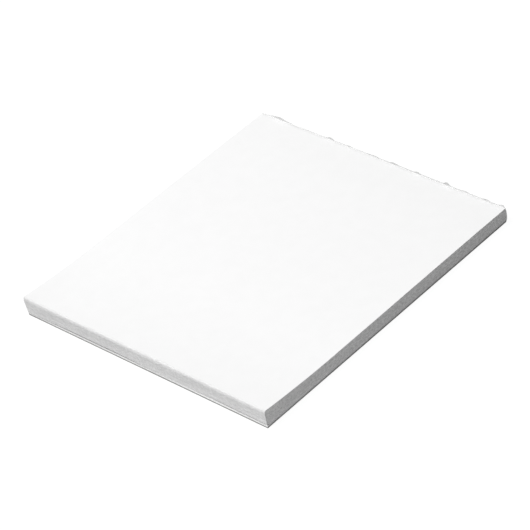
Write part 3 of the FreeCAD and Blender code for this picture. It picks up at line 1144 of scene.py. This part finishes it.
@dataclass
class GlueFilm:
    """The dried film of padding glue over the ends of the leaves and the board.

    One closed section is carried along X: up the outside, which bulges most a little
    above half the height, over the torn rim, and down the inside, which lies on the
    leaves. The film is brushed on, so its outside is streaked along X.
    """

    stack: Stack
    steps_along: int = 760
    steps_up: int = 40
    steps_down: int = 14
    steps_heel: int = 10
    crowding: float = 1.35
    bulge: float = 0.78 * MM
    wall: float = 0.16 * MM
    tip: float = 0.12 * MM
    fullness: float = 0.6
    body_shares: Range = (0.8, 1.1)
    rim_stand: float = 0.05 * MM
    rim_growth: float = 0.28 * MM
    growth_run: float = 0.67
    end_run: float = 1.0 * MM
    end_quickness: float = 3.0
    inside_share: float = 0.995
    ragged: float = 0.04 * MM
    least_ragged: float = 0.45
    ragged_from: float = 0.6 * MM
    ragged_waves: tuple[float, ...] = (2.3 * MM, 1.07 * MM, 0.61 * MM, 0.37 * MM)
    streak: float = 0.03 * MM
    streak_waves: tuple[float, ...] = (41 * MM, 17 * MM, 6.1 * MM)
    lean: float = 0.22
    lean_waves: tuple[float, ...] = (19 * MM, 7 * MM)
    flaps: tuple[Flap, ...] = (
        Flap(0.074, 1.0 * MM, 8.5 * MM, 10.0 * MM),
        Flap(0.145, -0.42 * MM, 3.4 * MM, 5.0 * MM),
        Flap(0.296, 0.85 * MM, 4.2 * MM, 2.2 * MM),
        Flap(0.369, 0.4 * MM, 3.4 * MM, 2.8 * MM),
        Flap(0.476, 0.25 * MM, 5.6 * MM, 3.8 * MM),
        Flap(0.556, 0.7 * MM, 2.6 * MM, 3.2 * MM),
        Flap(0.658, 1.1 * MM, 3.4 * MM, 1.8 * MM),
        Flap(0.772, 1.35 * MM, 3.2 * MM, 2.1 * MM),
        Flap(0.845, 0.35 * MM, 2.8 * MM, 2.3 * MM),
        Flap(0.923, 0.55 * MM, 2.8 * MM, 3.4 * MM),
        Flap(0.992, 0.6 * MM, 3.4 * MM, 2.4 * MM),
    )

    def from_end(self, x: np.ndarray) -> np.ndarray:
        """How far it is to the nearer end of the film, as a share of the run there."""
        return np.clip((self.stack.right_side - np.abs(x)) / self.end_run, 0, 1)

    def rim(self, x: np.ndarray) -> np.ndarray:
        """Works out the torn rim's height at each X.

        It is the page's top and the base stand, which grows over the left two thirds,
        the flaps, and a raggedness in fine waves that is stronger where a flap stands.
        At both ends it falls to the page's top.

        Args:
            x: places along X.

        Returns:
            The rim's height at each place.
        """
        flaps = sum(flap.height(x, self.stack) for flap in self.flaps)
        fine = Wander(self.ragged_waves, Draw.TORN_RIM).along(x)[0]
        torn = (1 - self.least_ragged) * smooth_step(flaps / self.ragged_from)
        rough = self.ragged * fine * (self.least_ragged + torn)
        grown = smooth_step((x / self.stack.width + 0.5) / self.growth_run)
        stand = self.rim_stand + self.rim_growth * grown
        return self.stack.page_top + (stand + flaps + rough) * smooth_step(self.from_end(x))

    def thickness(self, x: np.ndarray, z: np.ndarray, rim: np.ndarray) -> np.ndarray:
        """Works out how thick the film is at each place.

        Behind the leaves it is the wall and a bulge: a sine up the height to a power
        near one half, weighted towards the top, so it rounds off quickly below and
        above, and a quarter of an ellipse towards the film's two ends. Above the leaves
        it thins evenly to the tip. Streaks along X are slow drifts, one for each height.

        Args:
            x: places along X, in a row.
            z: heights, as a table with a column for each place.
            rim: the rim's height at each place.

        Returns:
            The thickness, as a table like the heights.
        """
        stack = self.stack
        share = np.clip(z / stack.page_top, 0, 1)
        foot, head = self.body_shares
        weight = foot + (head - foot) * share
        body = self.bulge * np.sin(np.pi * share) ** self.fullness * weight
        streaks = Wander(self.streak_waves, Draw.STREAKS).along(x, z.shape[0])
        near_end = np.minimum(self.end_quickness * self.from_end(x), 1)
        rounded = np.sqrt(1 - (1 - near_end) ** 2)
        body = body * (1 + self.streak / self.bulge * streaks) * rounded
        thin = np.clip((z - stack.page_top) / np.maximum(rim - stack.page_top, self.tip), 0, 1)
        skirt = self.wall * (1 - thin) + self.tip * thin
        room = stack.film_back - stack.glued_edge
        return np.minimum(np.maximum(body, skirt), room)

    def build(self) -> bpy.types.Object:
        """Makes the film, which stands for the CAD's glue binding.

        Returns:
            The film's object.
        """
        stack = self.stack
        along = np.linspace(0, 1, self.steps_along + 1)
        x_top = -stack.right_side + along * stack.width
        rim = self.rim(x_top)
        up = 1 - (1 - np.linspace(0, 1, self.steps_up + 1)) ** self.crowding
        z_out = up[:, None] * rim[None, :]
        out = self.thickness(x_top, z_out, rim)
        lean = self.lean * Wander(self.lean_waves, Draw.RIM_LEAN).along(x_top)[0]
        over = np.maximum(z_out - stack.page_top, 0) * lean
        y_out = stack.glued_end(z_out) + out + over

        down = np.linspace(1, 0, self.steps_down + 1)
        above = np.maximum(rim - stack.page_top, 0) * self.inside_share
        z_in = np.concatenate([
            np.minimum(rim, stack.page_top) + down[:, None] * above[None, :],
            np.linspace(stack.heel_reach, 0, self.steps_heel + 1)[:, None] + 0 * rim,
        ])
        y_in = stack.glued_end(z_in) + np.maximum(z_in - stack.page_top, 0) * lean

        z = np.concatenate([z_out, z_in])
        y = np.concatenate([y_out, y_in])
        left = stack.left_side(z)
        x = left + along * (stack.right_side - left)
        points = np.stack([x, y, z], axis=-1).reshape(-1, 3)
        numbers = np.arange(x.size).reshape(x.shape)
        quads = grid_quads(np.concatenate([numbers, numbers[:1]])[::-1])
        skin = Skin(
            "glue_film",
            points,
            quads,
            [numbers[::-1, 0], numbers[:, -1]],
            points[quads][..., [0, 2]],
        )
        piece = skin.to_object()
        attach(piece, BODY)
        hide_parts("glue_binding")
        return piece

    def dress(self, piece: bpy.types.Object) -> None:
        """Gives the film its finish."""
        finish = GlueFinish(self.stack.leaf_thickness, self.stack.page_top)
        piece.data.materials.append(finish.make())


# The studio


@dataclass(frozen=True)
class SoftLamp:
    """A square soft box that faces the pad."""

    name: str
    place: Place
    size: float
    power: float

    def build(self) -> None:
        """Makes the lamp and turns it to the pad."""
        lamp = bpy.data.lights.new(self.name, "AREA")
        lamp.shape = "SQUARE"
        lamp.size = self.size
        lamp.energy = self.power
        holder = bpy.data.objects.new(self.name, lamp)
        holder.location = self.place
        holder.rotation_mode = "QUATERNION"
        holder.rotation_quaternion = (-Vector(self.place)).to_track_quat("-Z", "Y")
        holder.visible_camera = False
        bpy.context.scene.collection.objects.link(holder)


@dataclass(frozen=True)
class Camera:
    """The photograph's camera: a long lens that looks down across the pad's corner."""

    target: Place = (2.09 * MM, -2.82 * MM, 4.0 * MM)
    distance: float = 1.325
    azimuth: float = 50.088
    elevation: float = 37.495
    roll: float = -12.597
    lens: float = 213.88
    sensor: float = 36.0
    clip: Range = (0.05, 20.0)

    def build(self) -> None:
        """Makes the camera, turned by its azimuth, elevation and roll in degrees."""
        turn, rise, roll = (math.radians(a) for a in (self.azimuth, self.elevation, self.roll))
        back = Vector(
            (math.sin(turn) * math.cos(rise), -math.cos(turn) * math.cos(rise), math.sin(rise))
        )
        level = Vector((math.cos(turn), math.sin(turn), 0.0))
        upright = back.cross(level)
        right = level * math.cos(roll) + upright * math.sin(roll)
        up = back.cross(right)
        data = bpy.data.cameras.new("camera")
        data.sensor_width = self.sensor
        data.lens = self.lens
        data.clip_start, data.clip_end = self.clip
        camera = bpy.data.objects.new("camera", data)
        place = Vector(self.target) + back * self.distance
        turned = Matrix((right, up, back)).transposed().to_4x4()
        camera.matrix_world = Matrix.Translation(place) @ turned
        bpy.context.scene.collection.objects.link(camera)
        bpy.context.scene.camera = camera


@dataclass
class Studio:
    """A white sweep and soft light from the upper left, as in a catalogue picture."""

    camera: Camera = field(default_factory=Camera)
    lamps: tuple[SoftLamp, ...] = (
        SoftLamp("key", (-1.22, -1.07, 2.27), 2.17, 85.0),
        SoftLamp("fill", (0.45, -0.35, 0.12), 0.2, 0.5),
    )
    sky: float = 0.26
    floor_size: float = 6.0
    floor_bounce: float = 0.24
    floor_glow: float = 0.94
    shadow_share: float = 0.11

    def build_sky(self) -> None:
        """Makes the world: white where it is seen, a plain grey as a light."""
        world = bpy.data.worlds.new("sky")
        recipe = Recipe(world, "ShaderNodeOutputWorld")
        light, white = (
            recipe.feed(recipe.add("ShaderNodeBackground"), color=WHITE, strength=strength)
            for strength in (self.sky, 1.0)
        )
        recipe.part_rays(light.outputs["Background"], white.outputs["Background"])
        bpy.context.scene.world = world

    def build_floor(self) -> None:
        """Makes the floor, which shows as white with a faint shadow of the pad.

        To rays that light the pad it is a mid grey. To those that show it, it is a
        little of its own shading and enough glow to bring that up to white.
        """
        half = self.floor_size / 2
        ring = ((-half, -half), (half, -half), (half, half), (-half, half))
        mesh = bpy.data.meshes.new("floor")
        mesh.from_pydata([(x, y, 0.0) for x, y in ring], [], [range(len(ring))])
        floor = bpy.data.objects.new("floor", mesh)
        bpy.context.scene.collection.objects.link(floor)
        recipe = Recipe(bpy.data.materials.new("floor"))
        bounce, shaded = (
            recipe.feed(recipe.add("ShaderNodeBsdfDiffuse"), (share, share, share, 1))
            for share in (self.floor_bounce, self.shadow_share)
        )
        glow = recipe.feed(recipe.add("ShaderNodeEmission"), strength=self.floor_glow)
        lit = recipe.feed(
            recipe.add("ShaderNodeAddShader"), shaded.outputs["BSDF"], glow.outputs["Emission"]
        )
        recipe.part_rays(bounce.outputs["BSDF"], lit.outputs["Shader"])
        mesh.materials.append(recipe.owner)

    def build(self) -> None:
        """Makes the camera, the floor, the sky and the lamps."""
        bpy.context.scene.view_settings.view_transform = "Standard"
        self.camera.build()
        self.build_floor()
        self.build_sky()
        for lamp in self.lamps:
            lamp.build()


def main() -> None:
    """Builds the studio and then the pad, piece by piece from the board up."""
    logging.basicConfig(level=logging.INFO, format="%(name)s: %(message)s")
    Studio().build()
    stack = Stack()
    for maker in (BackBoard(stack), Leaves(stack), GlueFilm(stack)):
        piece = maker.build()
        maker.dress(piece)
        triangles = sum(len(face.vertices) - 2 for face in piece.data.polygons)
        LOG.info("%s: %d triangles", piece.name, triangles)


if __name__ == "__main__":
    main()
